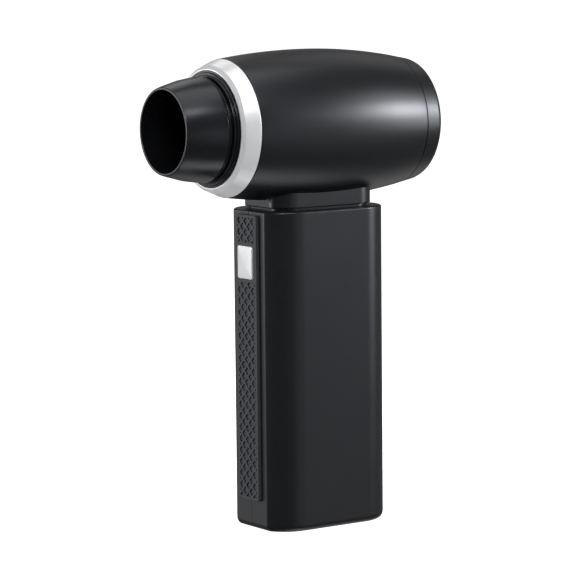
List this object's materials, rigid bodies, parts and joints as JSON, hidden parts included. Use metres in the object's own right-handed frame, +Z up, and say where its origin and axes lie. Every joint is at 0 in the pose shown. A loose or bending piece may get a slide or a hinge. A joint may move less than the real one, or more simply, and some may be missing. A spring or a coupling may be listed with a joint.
{
  "type": "car dryer blower",
  "caption": "Hand-held battery jet blower: swelling fan barrel with short nozzle and silver ring on an upright grip with rubber plate and push button.",
  "frame": {"origin": "centre of the grip's flat base, which it stands on", "axes": "+Z up the grip, the nozzle blows along -Y, the fan's axis runs along Y above the base"},
  "size_m": [0.065, 0.1269, 0.2066],
  "materials": {
    "body_black": "satin, finely spark-eroded",
    "nozzle_black": "satin",
    "silver_trim": "satin silver paint",
    "silver_button": "satin silver paint",
    "grip_rubber": "matte",
    "seal_rubber": "matte",
    "foam": "matte foam",
    "inner_plastic": "matte",
    "fan_plastic": "glass-filled, matte",
    "alloy": "turned",
    "steel": "ground",
    "magnet": "nickel plated",
    "lamination": "coated laminations",
    "copper": "enamelled copper wire",
    "lead_red": "silicone insulation",
    "lead_black": "silicone insulation",
    "board_green": "solder mask",
    "chip_black": "moulded epoxy",
    "can_silver": "drawn can",
    "cell_wrap": "shrink wrap",
    "nickel": "rolled strip"
  },
  "bodies": {
    "housing": {"barrel_shell": "body_black", "trim_ring": "silver_trim", "nozzle_collar": "nozzle_black", "rear_cap": "body_black", "intake_grille": "inner_plastic", "fan_duct": "inner_plastic", "stator_vanes": "inner_plastic", "motor_pod": "inner_plastic", "tail_cone": "inner_plastic", "damping_rings": "seal_rubber", "motor_mount": "alloy", "motor_bearings": "steel", "motor_screws": "steel", "stator_core": "lamination", "stator_windings": "copper", "motor_leads": "lead_red", "handle_shell_left": "body_black", "handle_shell_right": "body_black", "handle_screws": "steel", "screw_plugs": "grip_rubber", "neck_collar": "body_black", "neck_screws": "steel", "grip_plate": "grip_rubber", "button_switch": "inner_plastic", "button_board": "board_green", "button_leads": "lead_black", "control_board": "board_green", "board_mosfets": "chip_black", "board_capacitors": "can_silver", "board_chip": "chip_black", "battery_cells": "cell_wrap", "battery_tray_bottom": "inner_plastic", "battery_tray_top": "inner_plastic", "battery_strips": "nickel", "battery_pads": "foam", "battery_leads": "lead_red", "charge_board": "board_green", "usb_c_socket": "steel", "charge_leads": "lead_black"},
    "rotor": {"impeller": "fan_plastic", "impeller_nut": "alloy", "motor_shaft": "steel", "rotor_bell": "steel", "rotor_magnets": "magnet"},
    "nozzle": {"nozzle": "nozzle_black", "nozzle_seal": "seal_rubber"},
    "button": {"power_button": "silver_button", "switch_plunger": "inner_plastic"}
  },
  "joints": [
    {"name": "fan_spin", "type": "hinge", "parent": "housing", "child": "rotor", "pos_m": [0, 0, 0.1741], "axis": [0, 1, 0], "continuous": true},
    {"name": "button_press", "type": "slide", "parent": "housing", "child": "button", "axis": [0, 1, 0], "range_m": [0, 0.0008], "stiffness_N_per_m": 1500},
    {"name": "nozzle_pull", "type": "slide", "parent": "housing", "child": "nozzle", "axis": [0, -1, 0], "range_m": [0, 0.014]}
  ]
}
